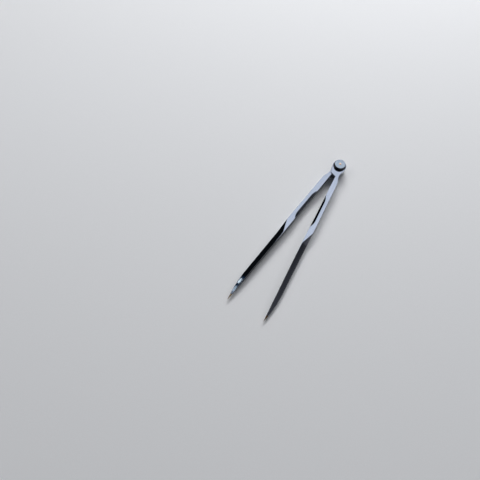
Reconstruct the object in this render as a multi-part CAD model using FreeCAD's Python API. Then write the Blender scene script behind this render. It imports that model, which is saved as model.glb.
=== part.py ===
import FreeCAD, Part
import math
import os

# Divider caliper: two identical plated legs, each with a half-thickness round leaf,
# lapped and joined by a riveted brass pivot between two turned caps.
# Millimetres. +Z is the pivot axis. The origin is on that axis, on the flat underside of
# the bottom cap. The legs point along -Y and stand open, half the angle to each side.
# A leg is drawn closed: u runs from the pivot to the tip, v outwards from the centre line,
# z up. The other leg is the same piece turned half round about its own length.

# Legs
LEG_LENGTH = 150.0
LEG_THICKNESS = 5.5
REST_OPENING = 11.8
INNER_FACE = 0.12          # each inner face from the centre line, so closed legs clear
EDGE_RADIUS = 0.1          # polished edge of the flat faces

# Head
HEAD_RADIUS = 5.7
HEAD_FLARE = 15.8          # angle of the straight outer side that leaves the round head
LEAF_FLARE = 11.0          # the same on the leaf's inner side
NECK_START = 7.5           # end of the straight outer side
NECK_LOW = (9.8, 3.45)     # narrowest place, u and v
NECK_RISE = (14.0, 4.15)
HIP = (20.0, 4.95)         # widest place below the neck
LEAF_CORNER = 9.2          # u of the leaf's outer corner
LEAF_END = 11.5            # u where the leaf's slanted end meets the inner face
SHOULDER_GAP = 0.35        # leaf end to the other leg's shoulder when closed
INNER_RELIEF = 0.8         # inner face from the centre line at the leaf end
RELIEF_RUNOUT = 80.0       # the inner faces meet from here to the points

# Outer edge below the hip
BELLY = (64.0, 4.85)
WAIST = (84.0, 4.45)
TAPER_START = (124.0, 4.0)
TIP_WIDTH = 0.1
TAPER_SLOPE = 0.015
TIP_HALF_HEIGHT = 0.12

# Ground facets that run down to the point, on the outer side of both faces
FACET_ANGLE = 30.0
FACET_START = 80.0         # here the facet first reaches the ridge
RUNOUT_SLOPE = 0.22        # steeper flat that starts the facet at the outer edge
RIDGE_LAND = 0.25          # flat sliver left beside the inner face
RIDGE_BEND = 124.5         # from here the ridge falls in a long curve
RIDGE_BEND_HEIGHT = 2.2    # above the mid-plane

# Finger hollows on the inner edges of both faces
HOLLOW_ANGLE = -33.0
HOLLOW_EDGE = 2.25         # hollow's edge on the flat face, from the centre line
HOLLOW_START = 31.3
HOLLOW_END = 64.6
HOLLOW_WHEEL = 22.0

# Points, pressed into the leg ends
POINT_LENGTH = 5.0
SHANK_RADIUS = 0.4
SHANK_LENGTH = 7.0
SHANK_OFFSET = 0.57        # shank axis from the inner face

# Pivot stack
CAP_BASE_RADIUS = 5.3      # where the cap meets the head; its side is slightly conical
CAP_RADIUS = 4.5
TOP_CAP_HEIGHT = 2.5
BOTTOM_CAP_HEIGHT = 1.2
CAP_EDGE = 0.2             # polished round edge
CAP_CROWN = 0.06           # rise of the top cap's face towards its middle
CAP_SINK = 0.05            # shallow sink round the rivet head
CAP_SINK_RADIUS = 1.05
WASHER_THICKNESS = 0.2
WASHER_RADIUS = 4.6
LEAF_WASHER_THICKNESS = 0.18
LEAF_GAP = 0.2             # between the two leaves
AXIAL_CLEARANCE = 0.02
PIN_RADIUS = 1.6
RIVET_RADIUS = 1.0
RIVET_DOME = 0.08
RUNNING_CLEARANCE = 0.03
WASHER_CLEARANCE = 0.05
SPRING_RADIUS = 3.2
SPRING_HOLE = 1.75
SPRING_THICKNESS = 0.25
SPRING_CONE = 0.28
SPRING_POCKET_RADIUS = 3.4
SPRING_POCKET_DEPTH = 0.6

LEG_BOTTOM = BOTTOM_CAP_HEIGHT + WASHER_THICKNESS
LEG_TOP = LEG_BOTTOM + LEG_THICKNESS
MID = LEG_BOTTOM + LEG_THICKNESS / 2
TOP_WASHER_BOTTOM = LEG_TOP + AXIAL_CLEARANCE
TOP_CAP_BOTTOM = TOP_WASHER_BOTTOM + WASHER_THICKNESS
TOP_CAP_TOP = TOP_CAP_BOTTOM + TOP_CAP_HEIGHT
SPRING_SEAT = BOTTOM_CAP_HEIGHT - SPRING_POCKET_DEPTH
FAR = 20.0                 # reach of a cutting body to the sides of the leg
PAST_TIP = 2.0             # its reach past the tip
PAST_HOLLOW = 3.0          # and past each end of a hollow
UP = FreeCAD.Vector(0, 0, 1)


def at(u, v, z):
    """Place in the closed leg's own measures, as a vector of the part's frame."""
    return FreeCAD.Vector(v, -u, z)


def cylinder(radius, bottom, top):
    return Part.makeCylinder(radius, top - bottom, FreeCAD.Vector(0, 0, bottom))


def lathe(points):
    """Solid of revolution about the pivot axis from (radius, z) corners."""
    wire = Part.makePolygon([FreeCAD.Vector(r, 0, z) for r, z in points + points[:1]])
    return Part.Face(wire).revolve(FreeCAD.Vector(0, 0, 0), UP, 360)


def prism(corners, bottom, top):
    """Upright body with straight sides from (u, v) corners."""
    wire = Part.makePolygon([at(u, v, bottom) for u, v in corners + corners[:1]])
    return Part.Face(wire).extrude(UP * (top - bottom))


# ---------------------------------------------------------------- leg outline

def head_side(u, flare_angle):
    """Distance from the centre line to a straight side that leaves the round head."""
    flare = math.radians(flare_angle)
    return HEAD_RADIUS / math.cos(flare) - math.tan(flare) * u


def head_tangent(flare_angle):
    """(u, distance) where that straight side touches the round head."""
    flare = math.radians(flare_angle)
    return HEAD_RADIUS * math.sin(flare), HEAD_RADIUS * math.cos(flare)


def leaf_side():
    return head_side(LEAF_CORNER, LEAF_FLARE)


def taper_width(u):
    """Outer edge's v over the last stretch, a shallow arc that ends at the tip."""
    run = LEG_LENGTH - TAPER_START[0]
    end = INNER_FACE + TIP_WIDTH
    bend = (TAPER_START[1] - end - TAPER_SLOPE * run) / run ** 2
    part = u - TAPER_START[0]
    return TAPER_START[1] - TAPER_SLOPE * part - bend * part ** 2


def leg_outline():
    """Closed plan outline of one leg with its leaf, as a face at the leg's underside."""
    z = LEG_BOTTOM
    outer_u, outer_v = head_tangent(HEAD_FLARE)
    inner_u, inner_v = head_tangent(LEAF_FLARE)
    outer_round = at(outer_u, outer_v, z)
    inner_round = at(inner_u, -inner_v, z)
    neck_start = at(NECK_START, head_side(NECK_START, HEAD_FLARE), z)
    hip = at(*HIP, z)
    belly = at(*BELLY, z)
    waist = at(*WAIST, z)
    taper = at(*TAPER_START, z)
    taper_mid_u = (TAPER_START[0] + LEG_LENGTH) / 2
    tip_outer = at(LEG_LENGTH, INNER_FACE + TIP_WIDTH, z)
    tip_inner = at(LEG_LENGTH, INNER_FACE, z)
    relief_runout = at(RELIEF_RUNOUT, INNER_FACE, z)
    leaf_end = at(LEAF_END, INNER_RELIEF, z)
    leaf_corner = at(LEAF_CORNER, -leaf_side(), z)

    neck = Part.BSplineCurve()
    neck.interpolate(
        Points=[neck_start, at(*NECK_LOW, z), at(*NECK_RISE, z), hip],
        InitialTangent=neck_start - outer_round,
        FinalTangent=belly - hip,
    )
    edges = [
        Part.Arc(inner_round, at(-HEAD_RADIUS, 0, z), outer_round).toShape(),
        Part.makeLine(outer_round, neck_start),
        neck.toShape(),
        Part.makeLine(hip, belly),
        Part.makeLine(belly, waist),
        Part.makeLine(waist, taper),
        Part.Arc(taper, at(taper_mid_u, taper_width(taper_mid_u), z), tip_outer).toShape(),
        Part.makeLine(tip_outer, tip_inner),
        Part.makeLine(tip_inner, relief_runout),
        Part.makeLine(relief_runout, leaf_end),
        Part.makeLine(leaf_end, leaf_corner),
        Part.makeLine(leaf_corner, inner_round),
    ]
    return Part.Face(Part.Wire(edges))


def leg_blank():
    """Full-thickness leg with polished edges round the leaf and down the outer side."""
    blank = leg_outline().extrude(UP * LEG_THICKNESS)
    rims = []
    for edge in blank.Edges:
        box = edge.BoundBox
        level = box.ZLength < EDGE_RADIUS
        above_waist = box.YMin > -WAIST[0] - EDGE_RADIUS
        on_inner_face = box.XMin > 0 and box.XMax < INNER_RELIEF + EDGE_RADIUS
        if level and above_waist and not on_inner_face:
            rims.append(edge)
    return blank.makeFillet(EDGE_RADIUS, rims)


# ---------------------------------------------------------------- ground surfaces

def ground(angle, reference_v, profile, closing):
    """Body removed by grinding one slanted surface of the upper face.

    The surface leans by angle towards +v. profile gives its edges from (u, depth)
    pairs, where depth is the height above the mid-plane at reference_v.
    closing is the list of (u, depth) corners that shut the outline above the leg.
    """
    lean = math.radians(angle)
    normal = FreeCAD.Vector(math.sin(lean), 0, math.cos(lean))
    across = FreeCAD.Vector(math.cos(lean), 0, -math.sin(lean))

    def place(u, height):
        along_normal = reference_v * math.sin(lean) + height * math.cos(lean)
        return FreeCAD.Vector(0, -u, MID) + normal * along_normal - across * FAR

    edges = []
    for kind, points in profile:
        corners = [place(u, h) for u, h in points]
        if kind == "line":
            edges.append(Part.makeLine(*corners))
        else:
            edges.append(Part.Arc(*corners).toShape())
    chain = [profile[-1][1][-1]] + closing + [profile[0][1][0]]
    for first, second in zip(chain, chain[1:]):
        edges.append(Part.makeLine(place(*first), place(*second)))
    return Part.Face(Part.Wire(edges)).extrude(across * 2 * FAR)


def wheel_rise(distance, radius):
    """Height of a round run-out at a distance from its lowest place."""
    return radius - math.sqrt(radius ** 2 - distance ** 2)


def facet_tool():
    """Outer facet: slanted start, long flat stretch, then a curve down to the tip."""
    half = LEG_THICKNESS / 2
    reach = LEG_THICKNESS / RUNOUT_SLOPE
    high = half + LEG_THICKNESS
    slope = (half - RIDGE_BEND_HEIGHT) / (RIDGE_BEND - FACET_START)
    run = LEG_LENGTH - RIDGE_BEND
    bend = (RIDGE_BEND_HEIGHT - TIP_HALF_HEIGHT - slope * run) / run ** 2

    def ridge(u):
        part = u - RIDGE_BEND
        return RIDGE_BEND_HEIGHT - slope * part - bend * part ** 2

    beyond = LEG_LENGTH + PAST_TIP
    halfway = (RIDGE_BEND + beyond) / 2
    profile = [
        ("line", [(FACET_START - reach, high), (FACET_START, half)]),
        ("line", [(FACET_START, half), (RIDGE_BEND, RIDGE_BEND_HEIGHT)]),
        ("arc", [(RIDGE_BEND, RIDGE_BEND_HEIGHT), (halfway, ridge(halfway)),
                 (beyond, ridge(beyond))]),
    ]
    closing = [(beyond, FAR), (FACET_START - reach, FAR)]
    return ground(FACET_ANGLE, INNER_FACE + RIDGE_LAND, profile, closing)


def hollow_tool():
    """Finger hollow: a flat-bottomed groove along the inner edge, round at both ends."""
    lean = math.cos(math.radians(HOLLOW_ANGLE))
    half = LEG_THICKNESS / 2
    depth = (HOLLOW_EDGE - INNER_FACE) * math.sin(math.radians(-HOLLOW_ANGLE))
    reach = math.sqrt(2 * HOLLOW_WHEEL * depth - depth ** 2)
    flat_start = HOLLOW_START + reach
    flat_end = HOLLOW_END - reach
    over = reach + PAST_HOLLOW
    high = half + wheel_rise(over, HOLLOW_WHEEL) / lean
    middle = half + wheel_rise(over / 2, HOLLOW_WHEEL) / lean
    profile = [
        ("arc", [(flat_start - over, high), (flat_start - over / 2, middle),
                 (flat_start, half)]),
        ("line", [(flat_start, half), (flat_end, half)]),
        ("arc", [(flat_end, half), (flat_end + over / 2, middle),
                 (flat_end + over, high)]),
    ]
    closing = [(flat_end + over, FAR), (flat_start - over, FAR)]
    return ground(HOLLOW_ANGLE, HOLLOW_EDGE, profile, closing)


def half_turn(shape):
    """The shape turned half round about the leg's length, through the mid-plane."""
    turned = shape.copy()
    turned.rotate(FreeCAD.Vector(0, 0, MID), FreeCAD.Vector(0, 1, 0), 180)
    return turned


def under_side(shape):
    """The shape mirrored to the leg's lower face."""
    return shape.mirror(FreeCAD.Vector(0, 0, MID), UP)


# ---------------------------------------------------------------- legs and points

def lap_tool():
    """Space under the leaf, up to the slanted shoulder that faces the other leaf."""
    slant = (LEAF_END - LEAF_CORNER) / (leaf_side() + INNER_RELIEF)

    def shoulder(v):
        return LEAF_CORNER + SHOULDER_GAP + slant * (leaf_side() - v)

    side = 2 * HEAD_RADIUS
    corners = [(-side, -side), (-side, side), (shoulder(side), side),
               (shoulder(-side), -side)]
    return prism(corners, 0.0, MID + LEAF_GAP / 2)


def whole_leg():
    """Leg and point in one, closed, with its leaf in the upper half."""
    leg = leg_blank().cut(lap_tool())
    for tool in (facet_tool(), hollow_tool()):
        leg = leg.cut(tool)
        leg = leg.cut(under_side(tool))
    return leg


def leg_and_point():
    """The leg with its shank hole, and the point that is pressed into it."""
    whole = whole_leg()
    joint = LEG_LENGTH - POINT_LENGTH
    beyond = LEG_LENGTH + PAST_TIP
    end_box = prism([(joint, -FAR), (joint, FAR), (beyond, FAR), (beyond, -FAR)],
                    0.0, TOP_CAP_TOP)
    shank = Part.makeCylinder(SHANK_RADIUS, SHANK_LENGTH,
                              at(joint, INNER_FACE + SHANK_OFFSET, MID),
                              FreeCAD.Vector(0, 1, 0))
    leg = whole.cut(end_box).cut(shank)
    point = whole.common(end_box).fuse(shank).removeSplitter()
    return leg, point


def opened(shape, side):
    """The closed shape turned to its resting place: side is +1 right, -1 left."""
    turned = shape.copy()
    turned.rotate(FreeCAD.Vector(0, 0, 0), UP, side * REST_OPENING / 2)
    return turned


# ---------------------------------------------------------------- pivot

def cap(flat, crown):
    """Turned cap from its flat inner face to its outer face, both z levels."""
    out = 1 if crown > flat else -1
    return lathe([
        (RIVET_RADIUS, flat),
        (CAP_BASE_RADIUS, flat),
        (CAP_RADIUS, crown - out * CAP_EDGE),
        (CAP_RADIUS - CAP_EDGE, crown),
        (RIVET_RADIUS, crown),
    ])


def dome(radius, rise, top):
    """Ball whose upper cap has the given radius and rise, and reaches up to top."""
    ball_radius = (radius ** 2 + rise ** 2) / (2 * rise)
    return Part.makeSphere(ball_radius, UP * (top - ball_radius))


def top_cap():
    sink = lathe([
        (0, TOP_CAP_TOP - CAP_SINK),
        (RIVET_RADIUS, TOP_CAP_TOP - CAP_SINK),
        (CAP_SINK_RADIUS, TOP_CAP_TOP),
        (0, TOP_CAP_TOP),
    ])
    crown = dome(CAP_RADIUS, CAP_CROWN, TOP_CAP_TOP)
    return cap(TOP_CAP_BOTTOM, TOP_CAP_TOP).common(crown).cut(sink)


def bottom_cap():
    pocket = cylinder(SPRING_POCKET_RADIUS, SPRING_SEAT, BOTTOM_CAP_HEIGHT)
    return cap(BOTTOM_CAP_HEIGHT, 0.0).cut(pocket)


def pivot_pin():
    """Shouldered rivet: thick through the leaves, thin through the caps."""
    head_level = TOP_CAP_TOP - CAP_SINK
    shaft = cylinder(PIN_RADIUS, SPRING_SEAT, TOP_CAP_BOTTOM)
    rivet = cylinder(RIVET_RADIUS, 0.0, head_level + RIVET_DOME)
    rivet = rivet.common(dome(RIVET_RADIUS, RIVET_DOME, head_level + RIVET_DOME))
    return shaft.fuse(rivet).removeSplitter()


def washer(bottom, thickness):
    hole = PIN_RADIUS + WASHER_CLEARANCE
    return lathe([(hole, bottom), (WASHER_RADIUS, bottom),
                  (WASHER_RADIUS, bottom + thickness), (hole, bottom + thickness)])


def spring_washer():
    """Conical spring washer in the bottom cap's pocket, narrow end down."""
    return lathe([
        (SPRING_HOLE, SPRING_SEAT),
        (SPRING_RADIUS, SPRING_SEAT + SPRING_CONE),
        (SPRING_RADIUS, SPRING_SEAT + SPRING_CONE + SPRING_THICKNESS),
        (SPRING_HOLE, SPRING_SEAT + SPRING_THICKNESS),
    ])


# ---------------------------------------------------------------- assembly

def build():
    leg, point = leg_and_point()
    running_bore = cylinder(PIN_RADIUS + RUNNING_CLEARANCE, 0.0, TOP_CAP_TOP)
    pressed_bore = cylinder(PIN_RADIUS, 0.0, TOP_CAP_TOP)
    return {
        "left_leg": opened(half_turn(leg).cut(pressed_bore), -1),
        "left_point": opened(half_turn(point), -1),
        "right_leg": opened(leg.cut(running_bore), 1),
        "right_point": opened(point, 1),
        "pivot_pin": pivot_pin(),
        "top_cap": top_cap(),
        "bottom_cap": bottom_cap(),
        "top_friction_washer": washer(TOP_WASHER_BOTTOM, WASHER_THICKNESS),
        "leaf_washer": washer(MID - LEAF_GAP / 2, LEAF_WASHER_THICKNESS),
        "bottom_friction_washer": washer(BOTTOM_CAP_HEIGHT, WASHER_THICKNESS),
        "spring_washer": spring_washer(),
    }


os.makedirs("parts", exist_ok=True)
for node, shape in build().items():
    shape.exportStep("parts/" + node + ".step")
    print(node, shape.ShapeType, len(shape.Solids), shape.isValid(), round(shape.Volume, 3))
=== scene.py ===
import math

import bpy
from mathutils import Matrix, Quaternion, Vector


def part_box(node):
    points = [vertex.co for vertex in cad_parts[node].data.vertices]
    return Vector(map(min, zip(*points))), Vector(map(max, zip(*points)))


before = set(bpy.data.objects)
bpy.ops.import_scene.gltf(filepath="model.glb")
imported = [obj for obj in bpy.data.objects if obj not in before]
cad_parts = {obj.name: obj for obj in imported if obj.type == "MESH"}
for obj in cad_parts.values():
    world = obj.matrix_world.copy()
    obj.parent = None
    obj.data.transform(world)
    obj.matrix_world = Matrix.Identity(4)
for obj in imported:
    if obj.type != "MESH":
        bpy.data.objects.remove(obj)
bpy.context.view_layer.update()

# Metres, in the CAD model's frame: +Z up the pivot axis, legs along -Y.

# The photograph's viewing angle
AIM = Vector((-0.0339, -0.1030, 0.0042))
DISTANCE = 0.4051
AZIMUTH = 28.47
ELEVATION = 64.70
ROLL = 4.19
SENSOR = 36.0
LENS = 38.77

# Floor
FLOOR_HALF = 2.0
RESTING_NODES = ("left_leg", "right_leg", "left_point", "right_point")
FLUSH = 1e-5               # vertices within this of a face's level belong to that face
CLEAR_OF_CAP = 4           # only what lies this many cap radii away counts as legs

# Lights that face the object: name, azimuth and elevation, distance, size, radiance
LIT_PLACE = Vector((0.0, -0.08, 0.0))
LIGHTS = [
    ("skylight", 192.0, 61.0, 1.5, (0.80, 0.70), (0.67, 0.73, 0.85)),
    ("north_window", 188.0, 30.0, 1.5, (0.80, 0.60), (10.3, 10.3, 10.3)),
    ("west_window", 214.0, 34.0, 1.5, (0.45, 0.65), (12.2, 12.2, 12.2)),
    ("pale_wall", 285.0, 45.0, 1.5, (0.80, 0.80), (2.4, 2.4, 2.4)),
    ("door_glow", 67.0, 42.0, 1.5, (0.80, 0.80), (1.65, 1.65, 1.65)),
]
# Small panes low beside the left point: place that reflects each, then as above, and roll
SMALL_PANES = [
    (Vector((-0.0154, -0.1321, 0.0053)), "clear_pane", 250.5, 18.7, 0.3,
     (0.019, 0.0026), (2.4, 2.7, 2.8), 9.0),
    (Vector((-0.0156, -0.1391, 0.0050)), "pale_pane", 254.5, 19.4, 0.3,
     (0.019, 0.0035), (0.75, 0.92, 1.02), 5.0),
    (Vector((-0.0157, -0.1441, 0.0047)), "haze_pane", 257.4, 19.8, 0.3,
     (0.030, 0.0080), (0.34, 0.38, 0.44), 5.0),
    (Vector((-0.0155, -0.1351, 0.0052)), "dusk_pane", 252.5, 19.0, 0.3,
     (0.060, 0.0300), (0.012, 0.035, 0.075), 5.0),
]
# Dark room: azimuth and elevation of its lightest part, and how its brightness falls away
DIM_WALL = (95.0, 28.0)
DIM_WALL_EDGE = 0.82       # cosine of the angle at which it has faded out
DIM_WALL_COLOUR = (0.100, 0.101, 0.114, 1)
ROOM_COLOUR = (0.006, 0.007, 0.009, 1)

# Which faces of a node take another material: a darker colour painted as shade, or the ground
# faces' finish
LEG_SIDE = {"left_leg": -1, "right_leg": 1}
INNER_REACH = 0.0012       # inner walls lie within this of a closed leg's centre line
HEAD_SHARE = 0.06          # share of the leg's length taken up by its round leaf
EDGE_REACH = 0.00011       # edge breaks lie within this of a flat face
UPRIGHT = 0.5              # below this share of a face's normal along Z, it is a wall
SLANTED = 0.97             # between that and this, it is a ground slanted face
LEVEL = 0.9995             # above this, it is one of the two flat faces
CAP_SIDE_SHARE = 0.75      # a cap's side and edge break lie outside this share of its radius
CAP_FLAT = 0.8             # above this share of the normal along Z, a cap's face is flat
# slot of the darker colour painted as shade on leg inner walls, edge breaks and cap sides
PAINTED_SHADE_SLOT = 1
GROUND_SLOT = 2


# ---------------------------------------------------------------- shader helpers

class Shader:
    """Short forms for building one material's nodes."""

    def __init__(self, name):
        self.material = bpy.data.materials.new(name)
        self.material.use_nodes = True
        self.nodes = self.material.node_tree.nodes
        self.links = self.material.node_tree.links
        self.surface = self.nodes["Principled BSDF"]

    def add(self, kind, **settings):
        node = self.nodes.new(kind)
        for key, value in settings.items():
            setattr(node, key, value)
        return node

    def link(self, source, target):
        self.links.new(source, target)

    def set(self, **values):
        for key, value in values.items():
            self.surface.inputs[key.replace("_", " ")].default_value = value

    def object_coordinates(self):
        return self.add("ShaderNodeTexCoord").outputs["Object"]

    def mapped(self, vector, scale=(1, 1, 1), turn=0.0):
        node = self.add("ShaderNodeMapping")
        node.inputs["Scale"].default_value = scale
        node.inputs["Rotation"].default_value = (0, 0, turn)
        self.link(vector, node.inputs["Vector"])
        return node.outputs["Vector"]

    def noise(self, vector, scale, detail=3.0, roughness=0.5):
        node = self.add("ShaderNodeTexNoise")
        node.inputs["Scale"].default_value = scale
        node.inputs["Detail"].default_value = detail
        node.inputs["Roughness"].default_value = roughness
        self.link(vector, node.inputs["Vector"])
        return node.outputs["Fac"]

    def math(self, operation, first, second=None):
        node = self.add("ShaderNodeMath", operation=operation)
        for index, value in enumerate((first, second)):
            if value is None:
                continue
            if isinstance(value, (int, float)):
                node.inputs[index].default_value = value
            else:
                self.link(value, node.inputs[index])
        return node.outputs["Value"]

    def spread(self, value, low, high, to_low, to_high):
        node = self.add("ShaderNodeMapRange")
        self.link(value, node.inputs["Value"])
        node.inputs["From Min"].default_value = low
        node.inputs["From Max"].default_value = high
        node.inputs["To Min"].default_value = to_low
        node.inputs["To Max"].default_value = to_high
        return node.outputs["Result"]

    def colours(self, value, stops):
        node = self.add("ShaderNodeValToRGB")
        ramp = node.color_ramp
        ramp.elements[0].position, ramp.elements[0].color = stops[0]
        ramp.elements[1].position, ramp.elements[1].color = stops[-1]
        for place, colour in stops[1:-1]:
            ramp.elements.new(place).color = colour
        self.link(value, node.inputs["Fac"])
        return node.outputs["Color"]

    def bump(self, height, distance, strength=1.0):
        node = self.add("ShaderNodeBump")
        node.inputs["Distance"].default_value = distance
        node.inputs["Strength"].default_value = strength
        self.link(height, node.inputs["Height"])
        self.link(node.outputs["Normal"], self.surface.inputs["Normal"])


# ---------------------------------------------------------------- materials

def plated_leg(name, turn):
    """Polished nickel-chrome plate: lengthwise polishing marks, faint smears, fine scratches."""
    s = Shader(name)
    s.set(Metallic=1.0)
    place = s.mapped(s.object_coordinates(), turn=turn)
    marks = s.noise(s.mapped(place, scale=(2600, 40, 2600)), 1.0, detail=2.0)
    smears = s.noise(s.mapped(place, scale=(120, 45, 120)), 1.0, detail=4.0)
    scratches = s.noise(s.mapped(place, scale=(900, 180, 900)), 1.0, detail=5.0, roughness=0.7)
    rough = s.math("ADD", s.spread(smears, 0.35, 0.7, 0.05, 0.14),
                   s.spread(scratches, 0.55, 0.8, 0.0, 0.12))
    s.link(rough, s.surface.inputs["Roughness"])
    tint = s.colours(smears, [(0.3, (0.60, 0.63, 0.69, 1)), (0.7, (0.70, 0.73, 0.79, 1))])
    s.link(tint, s.surface.inputs["Base Color"])
    s.bump(s.math("ADD", marks, s.math("MULTIPLY", scratches, 0.4)), 0.000002)
    return s.material


def ground_face(name, turn):
    """Finely ground and plated slanted face, with painted shade that darkens it towards the leg's
    inner ridge.
    """
    s = Shader(name)
    s.set(Metallic=1.0)
    place = s.mapped(s.object_coordinates(), turn=turn)
    split = s.add("ShaderNodeSeparateXYZ")
    s.link(place, split.inputs["Vector"])
    across = s.math("ABSOLUTE", split.outputs["X"])
    marks = s.noise(s.mapped(place, scale=(3000, 60, 3000)), 1.0, detail=2.0)
    smears = s.noise(s.mapped(place, scale=(260, 60, 260)), 1.0, detail=4.0)
    s.link(s.spread(smears, 0.35, 0.7, 0.03, 0.06), s.surface.inputs["Roughness"])
    # painted shade: the base colour darkens towards the leg's inner ridge, with a little random
    # wobble
    depth = s.math("ADD", across, s.spread(smears, 0.3, 0.7, -0.0004, 0.0004))
    tint = s.colours(s.spread(depth, 0.0008, 0.0045, 0.0, 1.0), [
        (0.0, (0.34, 0.36, 0.40, 1)),
        (0.4, (0.52, 0.54, 0.58, 1)),
        (0.8, (0.92, 0.92, 0.94, 1)),
    ])
    s.link(tint, s.surface.inputs["Base Color"])
    s.bump(marks, 0.0000008)
    return s.material


def turned_cap(name):
    """Plated cap with fine concentric turning marks."""
    s = Shader(name)
    s.set(Metallic=1.0, Anisotropic=0.4)
    place = s.object_coordinates()
    flat = s.mapped(place, scale=(1, 1, 0))
    length = s.add("ShaderNodeVectorMath", operation="LENGTH")
    s.link(flat, length.inputs[0])
    radius = length.outputs["Value"]
    rings = s.add("ShaderNodeTexNoise", noise_dimensions="1D")
    rings.inputs["Scale"].default_value = 9000.0
    rings.inputs["Detail"].default_value = 2.0
    s.link(radius, rings.inputs["W"])
    smears = s.noise(place, 400.0, detail=4.0)
    s.link(s.spread(smears, 0.3, 0.7, 0.08, 0.15), s.surface.inputs["Roughness"])
    tint = s.colours(smears, [(0.3, (0.49, 0.54, 0.58, 1)), (0.7, (0.58, 0.64, 0.68, 1))])
    s.link(tint, s.surface.inputs["Base Color"])
    tangent = s.add("ShaderNodeTangent", direction_type="RADIAL", axis="Z")
    s.link(tangent.outputs["Tangent"], s.surface.inputs["Tangent"])
    s.bump(rings.outputs["Fac"], 0.000004)
    return s.material


def mottled_metal(name, dark, light, rough, grain):
    """Mottled tone and roughness over a fine grain: bare metal for the points and pivot parts,
    and the darker colours painted as shade on legs, cap sides and the right point.
    """
    s = Shader(name)
    s.set(Metallic=1.0)
    place = s.object_coordinates()
    mottle = s.noise(place, 700.0, detail=5.0, roughness=0.6)
    fine = s.noise(place, grain, detail=2.0)
    s.link(s.colours(mottle, [(0.3, (*dark, 1)), (0.7, (*light, 1))]),
           s.surface.inputs["Base Color"])
    s.link(s.spread(mottle, 0.3, 0.7, rough, rough + 0.15), s.surface.inputs["Roughness"])
    s.bump(fine, 0.000004)
    return s.material


def paper_floor():
    """Plain pale matt floor with a faint tooth."""
    s = Shader("floor_paper")
    place = s.object_coordinates()
    tooth = s.noise(place, 1500.0, detail=3.0)
    s.set(Roughness=0.75)
    s.link(s.colours(tooth, [(0.3, (0.79, 0.80, 0.82, 1)), (0.7, (0.81, 0.82, 0.84, 1))]),
           s.surface.inputs["Base Color"])
    s.bump(tooth, 0.00002, 0.3)
    return s.material


def dress(node, material):
    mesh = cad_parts[node].data
    mesh.materials.clear()
    mesh.materials.append(material)


def blacken_and_shade_side(node, material):
    """Give the cap's slanted side its own near-black colour: a blackened finish darkened further
    as painted shade.
    """
    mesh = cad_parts[node].data
    mesh.materials.append(material)
    widest = max(v.co.x for v in mesh.vertices)
    for face in mesh.polygons:
        outside = math.hypot(face.center.x, face.center.y) > CAP_SIDE_SHARE * widest
        if outside and abs(face.normal.z) < CAP_FLAT:
            face.material_index = PAINTED_SHADE_SLOT


def leg_turn(node):
    """Angle that turns a leg's own length onto the Y axis, read from the frame."""
    low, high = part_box(node)
    tip_x = high.x if LEG_SIDE[node] > 0 else low.x
    return -math.atan2(tip_x, -low.y)


def finish_leg(node, painted_shade, ground):
    """Paint shade on the leg's inner walls and edge breaks with a darker colour, which also hides
    the edge breaks' glints; give its ground faces a finer finish.
    """
    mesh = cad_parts[node].data
    mesh.materials.append(painted_shade)
    mesh.materials.append(ground)
    turn = leg_turn(node)
    outward = Vector((math.cos(turn), -math.sin(turn), 0)) * LEG_SIDE[node]
    low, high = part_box(node)
    for face in mesh.polygons:
        level = abs(face.normal.z)
        below_head = face.center.length > HEAD_SHARE * -low.y
        inner = face.center.dot(outward) < INNER_REACH and level < UPRIGHT
        edge = min(high.z - face.center.z, face.center.z - low.z) < EDGE_REACH
        if below_head and UPRIGHT < level < SLANTED:
            face.material_index = GROUND_SLOT
        # inner walls and edge breaks take the darker colour painted as shade
        if (below_head and inner) or (edge and level < LEVEL):
            face.material_index = PAINTED_SHADE_SLOT


def dress_legs():
    # painted shade: a dark plate colour for the legs' inner walls and edge breaks, which also
    # hides the edges' glints
    painted_shade = mottled_metal("painted_shade_plate", (0.15, 0.155, 0.17), (0.23, 0.235, 0.25), 0.30, 5000.0)
    for node in LEG_SIDE:
        turn = leg_turn(node)
        dress(node, plated_leg("plate_" + node, turn))
        finish_leg(node, painted_shade, ground_face("ground_" + node, turn))


def dress_caps():
    cap = turned_cap("turned_cap")
    # near-black cap side: blackened finish together with painted shade
    band = mottled_metal("blackened_band_painted_shade", (0.022, 0.023, 0.028), (0.036, 0.037, 0.044), 0.3, 5000.0)
    for node in ("top_cap", "bottom_cap"):
        dress(node, cap)
        blacken_and_shade_side(node, band)


def dress_points():
    steel = mottled_metal("point_steel", (0.30, 0.19, 0.09), (0.62, 0.42, 0.20), 0.22, 6000.0)
    # the right point uses the same steel painted darker, as painted shade
    shaded_steel = mottled_metal("point_steel_painted_shade", (0.09, 0.05, 0.02), (0.30, 0.19, 0.09), 0.3, 6000.0)
    dress("left_point", steel)
    dress("right_point", shaded_steel)


def dress_pivot():
    brass = mottled_metal("pivot_brass", (0.30, 0.22, 0.16), (0.44, 0.33, 0.26), 0.40, 5000.0)
    bronze = mottled_metal("washer_bronze", (0.40, 0.26, 0.13), (0.58, 0.40, 0.22), 0.3, 5000.0)
    spring = mottled_metal("spring_steel", (0.18, 0.19, 0.22), (0.32, 0.33, 0.37), 0.3, 5000.0)
    dress("pivot_pin", brass)
    for node in ("top_friction_washer", "leaf_washer", "bottom_friction_washer"):
        dress(node, bronze)
    dress("spring_washer", spring)


# ---------------------------------------------------------------- stage

def resting_plane():
    """Where the divider lies: the bottom cap's front rim, and the slope up to the legs."""
    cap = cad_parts["bottom_cap"].data.vertices
    rim = -min(v.co.y for v in cap if v.co.z < FLUSH)
    slope = min(v.co.z / (-v.co.y - rim)
                for node in RESTING_NODES
                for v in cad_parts[node].data.vertices
                if -v.co.y > CLEAR_OF_CAP * rim)
    return rim, slope


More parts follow.
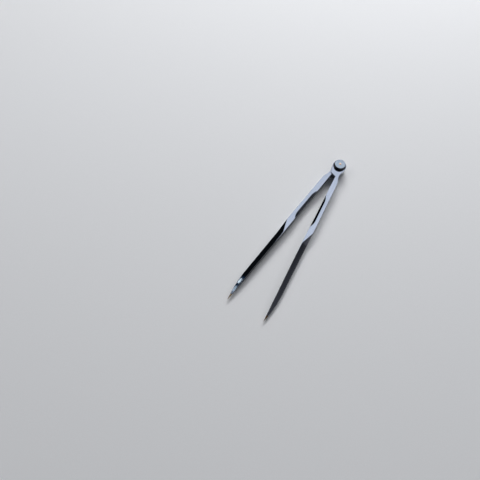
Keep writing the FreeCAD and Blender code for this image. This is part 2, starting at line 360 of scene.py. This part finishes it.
def make_floor():
    rim, slope = resting_plane()
    mesh = bpy.data.meshes.new("floor")
    half = FLOOR_HALF
    square = ((-half, -half), (half, -half), (half, half), (-half, half))
    corners = [(x, y, slope * (-y - rim)) for x, y in square]
    mesh.from_pydata(corners, [], [(0, 1, 2, 3)])
    mesh.materials.append(paper_floor())
    floor = bpy.data.objects.new("floor", mesh)
    bpy.context.scene.collection.objects.link(floor)


def toward(azimuth, elevation):
    """Unit vector to a place round the object; azimuth 0 is -Y and 90 is +X."""
    a, e = math.radians(azimuth), math.radians(elevation)
    return Vector((math.sin(a) * math.cos(e), -math.cos(a) * math.cos(e), math.sin(e)))


def area_light(target, name, azimuth, elevation, distance, size, radiance, roll=0.0):
    """Soft oval light facing its target, of a given colour and brightness."""
    light = bpy.data.lights.new(name, "AREA")
    light.shape = "ELLIPSE"
    light.size, light.size_y = size
    brightest = max(radiance)
    light.energy = brightest * math.pi * math.pi / 4 * size[0] * size[1]
    light.color = [part / brightest for part in radiance]
    lamp = bpy.data.objects.new(name, light)
    lamp.location = target + toward(azimuth, elevation) * distance
    lamp.rotation_mode = "QUATERNION"
    facing = (target - lamp.location).to_track_quat("-Z", "Y")
    lamp.rotation_quaternion = facing @ Quaternion((0, 0, 1), math.radians(roll))
    lamp.visible_camera = False
    bpy.context.scene.collection.objects.link(lamp)


def make_room():
    """Dark room all round, with one dim wall."""
    world = bpy.data.worlds.new("studio")
    bpy.context.scene.world = world
    world.use_nodes = True
    nodes, links = world.node_tree.nodes, world.node_tree.links
    place = nodes.new("ShaderNodeTexCoord")
    nearness = nodes.new("ShaderNodeVectorMath")
    nearness.operation = "DOT_PRODUCT"
    nearness.inputs[1].default_value = toward(*DIM_WALL)
    ramp = nodes.new("ShaderNodeValToRGB")
    ramp.color_ramp.interpolation = "EASE"
    room, wall = ramp.color_ramp.elements
    room.position, room.color = DIM_WALL_EDGE, ROOM_COLOUR
    wall.position, wall.color = 1.0, DIM_WALL_COLOUR
    links.new(place.outputs["Generated"], nearness.inputs[0])
    links.new(nearness.outputs["Value"], ramp.inputs["Fac"])
    links.new(ramp.outputs["Color"], nodes["Background"].inputs["Color"])


def make_lights():
    for light in LIGHTS:
        area_light(LIT_PLACE, *light)
    for pane in SMALL_PANES:
        area_light(*pane)


def make_camera():
    camera = bpy.data.cameras.new("camera")
    camera.sensor_width = SENSOR
    camera.lens = LENS
    camera.clip_start = 0.01
    camera.clip_end = 20.0
    holder = bpy.data.objects.new("camera", camera)
    back = toward(AZIMUTH, ELEVATION)
    holder.location = AIM + back * DISTANCE
    holder.rotation_mode = "QUATERNION"
    level = (-back).to_track_quat("-Z", "Y")
    holder.rotation_quaternion = level @ Quaternion((0, 0, 1), math.radians(ROLL))
    bpy.context.scene.collection.objects.link(holder)
    bpy.context.scene.camera = holder


make_camera()
make_floor()
make_room()
make_lights()
dress_legs()
dress_caps()
dress_points()
dress_pivot()
bpy.context.scene.view_settings.view_transform = "Standard"
